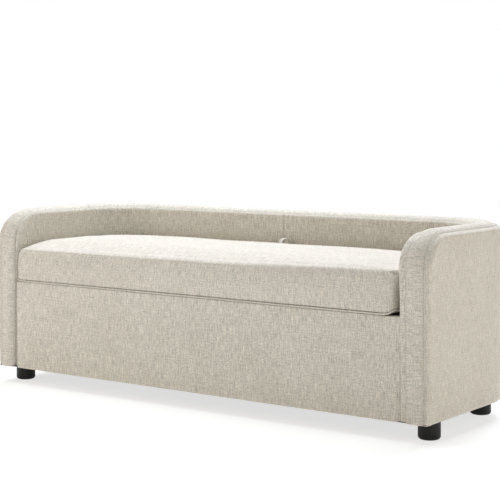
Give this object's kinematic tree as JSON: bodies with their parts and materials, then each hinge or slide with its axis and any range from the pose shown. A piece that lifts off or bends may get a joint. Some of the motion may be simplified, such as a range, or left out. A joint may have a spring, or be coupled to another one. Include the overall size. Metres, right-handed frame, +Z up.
{
  "type": "storage bench",
  "caption": "Low upholstered bench: a padded wall wraps both ends and the back, and the thick seat cushion lifts off a storage box on short round feet.",
  "frame": {"origin": "on the floor under the middle of the plan", "axes": "+X along the bench, to the right of a person facing its front; +Y from the front to the back; +Z up"},
  "size_m": [1.524, 0.548, 0.538],
  "materials": {
    "linen": "woven oatmeal linen look, matt",
    "webbing": "narrow woven strap, matt",
    "foam": "soft polyurethane foam and wadding",
    "lining": "black non-woven cloth",
    "foot_black": "black satin",
    "steel": "zinc plated",
    "plywood": "raw plywood",
    "softwood": "raw sawn softwood"
  },
  "bodies": {
    "bench": {"back_inner_board": "plywood", "back_left_post": "softwood", "back_middle_post": "softwood", "back_outer_board": "plywood", "back_right_post": "softwood", "back_top_rail": "softwood", "dust_cover": "lining", "facing_band": "linen", "front_board": "plywood", "front_cover": "linen", "front_left_block": "softwood", "front_left_foot": "foot_black", "front_left_stud": "steel", "front_pad": "foam", "front_rail": "softwood", "front_right_block": "softwood", "front_right_foot": "foot_black", "front_right_stud": "steel", "inner_cover": "linen", "inner_pad": "foam", "left_front_post": "softwood", "left_inner_board": "plywood", "left_inner_corner": "plywood", "left_outer_board": "plywood", "left_outer_corner": "plywood", "left_rail": "softwood", "left_rear_post": "softwood", "left_seat_support": "softwood", "left_top_rail": "softwood", "middle_rail": "softwood", "outer_cover": "linen", "outer_pad": "foam", "rear_left_block": "softwood", "rear_left_foot": "foot_black", "rear_left_stud": "steel", "rear_rail": "softwood", "rear_right_block": "softwood", "rear_right_foot": "foot_black", "rear_right_stud": "steel", "rear_seat_support": "softwood", "right_front_post": "softwood", "right_inner_board": "plywood", "right_inner_corner": "plywood", "right_outer_board": "plywood", "right_outer_corner": "plywood", "right_rail": "softwood", "right_rear_post": "softwood", "right_seat_support": "softwood", "right_top_rail": "softwood", "storage_floor": "plywood", "storage_lining": "lining", "top_pad": "foam"},
    "seat": {"pull_loop": "webbing", "seat_board": "plywood", "seat_cover": "linen", "seat_edge_strip": "linen", "seat_foam": "foam", "seat_left_stiffener": "softwood", "seat_right_stiffener": "softwood", "seat_underside": "lining"}
  },
  "joints": [
    {"name": "seat_lift", "type": "slide", "parent": "bench", "child": "seat", "axis": [0, 0, 1], "range_m": [0, 0.35]}
  ]
}
